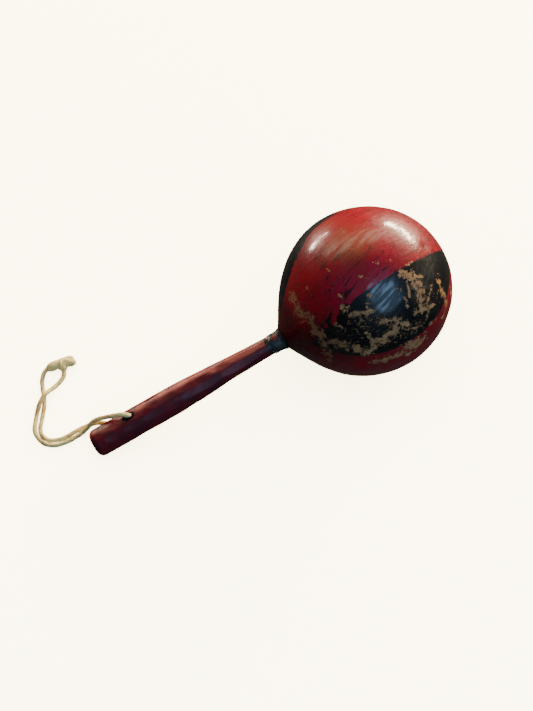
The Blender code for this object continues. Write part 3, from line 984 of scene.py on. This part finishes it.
class MARACA_OT_collar(bpy.types.Operator):
    """The blackened putty where the stick meets the gourd"""

    bl_idname = "maraca.collar"
    bl_label = "Collar"

    def execute(self, context):
        settings = context.scene.maraca_collar
        mesh = collar_mesh(settings)
        points = mesh_points(mesh)

        def spots(*places):
            best = np.zeros(len(points))
            for along, around, size in places:
                middle = place(np.float64(along * MM), np.radians(float(around)), np.float64(6.4 * MM))
                best = np.maximum(best, nearness(points, middle, size * MM))
            return best

        write_field(mesh, "red_spot", spots(*RED_SPOTS))
        write_field(mesh, "chip", spots(*CHIPS))
        add_piece("putty_collar", mesh, putty_finish(settings), replaces=["neck_collar"])
        return {"FINISHED"}


# ---------------------------------------------------------------- seeds


def seed_mesh(name, middle, radius, seed):
    """A dry seed: an ellipsoid of half-axes 0.9, 0.82 and 1 radius, turned at random, dented at one end."""
    rng = np.random.default_rng(seed)
    turn = np.array(Matrix.Rotation(rng.uniform(0, TURN), 3, Vector(rng.normal(size=3)).normalized()))
    down = np.linspace(0, math.pi, 16)[1:-1, None]
    around = all_round(24)
    unit = [np.sin(down) * np.cos(around), np.sin(down) * np.sin(around), np.cos(down) + 0 * around]
    unit = np.stack(unit, -1)
    ends = np.array([[0.0, 0.0, 1.0], [0.0, 0.0, -1.0]])
    dent = 1 - 0.10 * np.exp(-((np.arccos(np.clip(unit[..., 2:], -1, 1)) / 0.35) ** 2))
    half = np.array([0.9, 0.82, 1.0]) * radius
    ends[0] *= 0.90
    rings = (unit * dent * half) @ turn.T + middle
    first, last = (ends * half) @ turn.T + middle
    return skin(name, rings[::-1], last, first)


def seed_finish():
    """A hard dark seed coat, mottled brown."""
    made, shader, start = new_finish("dry seed")
    spot = start.add("ShaderNodeTexCoord", output=3)
    mottle = spot.noise(1.3 * MM, detail=4.0)
    tone = mottle.rise(0.4, 0.65).over((0.035, 0.020, 0.012), (0.12, 0.065, 0.03))
    rough = 0.35 + mottle * 0.15
    set_shader(shader, start, height=mottle, relief=0.05 * MM, Base_Color=tone, Roughness=rough)
    return made


class MARACA_OT_seeds(bpy.types.Operator):
    """The loose seeds, each riding on its own body"""

    bl_idname = "maraca.seeds"
    bl_label = "Seeds"

    def execute(self, context):
        finish = seed_finish()
        names = sorted(node for node in frame["nodes"] if node.startswith("seed_"))
        for number, node in enumerate(names):
            low, high = (np.array(corner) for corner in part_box(node))
            name = f"kernel_{number + 1:02d}"
            mesh = seed_mesh(name, (low + high) / 2, (high - low).max() / 2, number)
            add_piece(name, mesh, finish, body=node, replaces=[node])
        return {"FINISHED"}


# ---------------------------------------------------------------- stage


# name, degrees from +Y towards +X, degrees up, distance from the gourd, width, height, watts, colour
LIGHTS = (
    ("window", 58, 14, 1.1, 0.62, 0.14, 38, (1.0, 0.82, 0.56)),
    ("far window", -12, 4, 1.2, 0.40, 0.09, 9, (1.0, 0.80, 0.64)),
    ("sky", 172, 52, 1.0, 0.54, 0.62, 6.5, (0.36, 0.62, 1.0)),
    ("ceiling", 8, 42, 1.4, 1.8, 0.55, 12, (1.0, 0.72, 0.50)),
    ("door", 112, 10, 1.2, 1.20, 0.60, 1.3, (1.0, 0.86, 0.66)),
)
LOOKED_AT = (-3.1 * MM, -4.9 * MM, 36.7 * MM)
FLOOR_REACH = 3.0


def area_light(name, position, aim, width, height, power, tint):
    """A rectangular light that shines from its position at its aim."""
    lamp = bpy.data.lights.new(name, "AREA")
    lamp.shape = "RECTANGLE"
    lamp.size, lamp.size_y = width, height
    lamp.energy = power
    lamp.color = tint
    made = put(name, lamp)
    made.location = position
    made.rotation_euler = (Vector(aim) - Vector(position)).to_track_quat("-Z", "Y").to_euler()


def direction(turn, rise):
    """(sin(turn) cos(rise), cos(turn) cos(rise), sin(rise)): turned from +Y towards +X, risen from level."""
    return Vector((math.sin(turn) * math.cos(rise), math.cos(turn) * math.cos(rise), math.sin(rise)))


def from_gourd(turn, rise, away):
    """A place that far from the gourd, at that many degrees from +Y towards +X and that many above level."""
    low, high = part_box("gourd_shell")
    return (low + high) / 2 + direction(math.radians(turn), math.radians(rise)) * away


def floor_finish(settings):
    """Pale paper that gives some light of its own, less of it close to what stands on it: a painted contact
    shadow.
    """
    made, shader, start = new_finish("pale floor")
    # painted contact shadow: the glow is dimmed where ambient occlusion finds something close
    near = start.add("ShaderNodeAmbientOcclusion", {"samples": 8}, {"Distance": 0.07}, output=1)
    shadowed_paper = tuple(0.6 * part for part in settings.paper)
    shade = near.rise(0.0, 1.0).over(shadowed_paper, settings.paper)
    set_shader(
        shader, start, Base_Color=rgba(settings.paper), Emission_Color=shade,
        Emission_Strength=settings.glow, Roughness=0.9, Specular_IOR_Level=0.1,
    )
    return made


class MARACA_OT_stage(bpy.types.Operator):
    """The camera, the lights and the pale floor"""

    bl_idname = "maraca.stage"
    bl_label = "Stage"

    def execute(self, context):
        settings = context.scene.maraca_stage
        forward = direction(settings.swing, -settings.elevation)
        eye = bpy.data.cameras.new("camera")
        eye.lens = settings.lens
        camera = put("camera", eye)
        camera.location = Vector(LOOKED_AT) - forward * settings.distance
        camera.rotation_euler = forward.to_track_quat("-Z", "Y").to_euler()
        context.scene.camera = camera

        floor = bpy.data.meshes.new("floor")
        corners = [(x * FLOOR_REACH, y * FLOOR_REACH, 0) for x, y in ((-1, -1), (1, -1), (1, 1), (-1, 1))]
        floor.from_pydata(corners, [], [(0, 1, 2, 3)])
        floor.materials.append(floor_finish(settings))
        ground = put("floor", floor)
        ground.visible_diffuse = ground.visible_glossy = False

        gourd = from_gourd(0, 0, 0)
        for name, turn, rise, away, width, height, power, tint in LIGHTS:
            area_light(name, from_gourd(turn, rise, away), gourd, width, height, power, tint)

        world = bpy.data.worlds.new("room")
        world.use_nodes = True
        backdrop = world.node_tree.nodes["Background"]
        backdrop.inputs["Color"].default_value = (1.0, 0.98, 0.95, 1.0)
        backdrop.inputs["Strength"].default_value = 0.06
        context.scene.world = world
        return {"FINISHED"}


# ---------------------------------------------------------------- add-on

PIECES = (
    MARACA_OT_stage, MARACA_OT_cord, MARACA_OT_gourd, MARACA_OT_stick, MARACA_OT_collar, MARACA_OT_seeds,
)
SETTINGS = {
    "maraca_gourd": GourdSettings, "maraca_stick": StickSettings, "maraca_collar": CollarSettings,
    "maraca_cord": CordSettings, "maraca_stage": StageSettings,
}


class MARACA_PT_panel(bpy.types.Panel):
    """The maraca's settings and the buttons that build it"""

    bl_label = "Maraca"
    bl_idname = "MARACA_PT_panel"
    bl_space_type = "VIEW_3D"
    bl_region_type = "UI"
    bl_category = "Maraca"

    def draw(self, context):
        for name, group in SETTINGS.items():
            box = self.layout.box()
            box.label(text=name.replace("maraca_", "").title())
            for setting in group.__annotations__:
                box.prop(getattr(context.scene, name), setting)
        for piece in PIECES:
            self.layout.operator(piece.bl_idname)


def register():
    for cls in (*SETTINGS.values(), *PIECES, MARACA_PT_panel):
        bpy.utils.register_class(cls)
    for name, group in SETTINGS.items():
        setattr(bpy.types.Scene, name, PointerProperty(type=group))


def unregister():
    for name in SETTINGS:
        delattr(bpy.types.Scene, name)
    for cls in reversed((*SETTINGS.values(), *PIECES, MARACA_PT_panel)):
        bpy.utils.unregister_class(cls)


def main():
    register()
    for piece in PIECES:
        getattr(bpy.ops.maraca, piece.bl_idname.split(".")[1])()


if __name__ == "__main__":
    main()
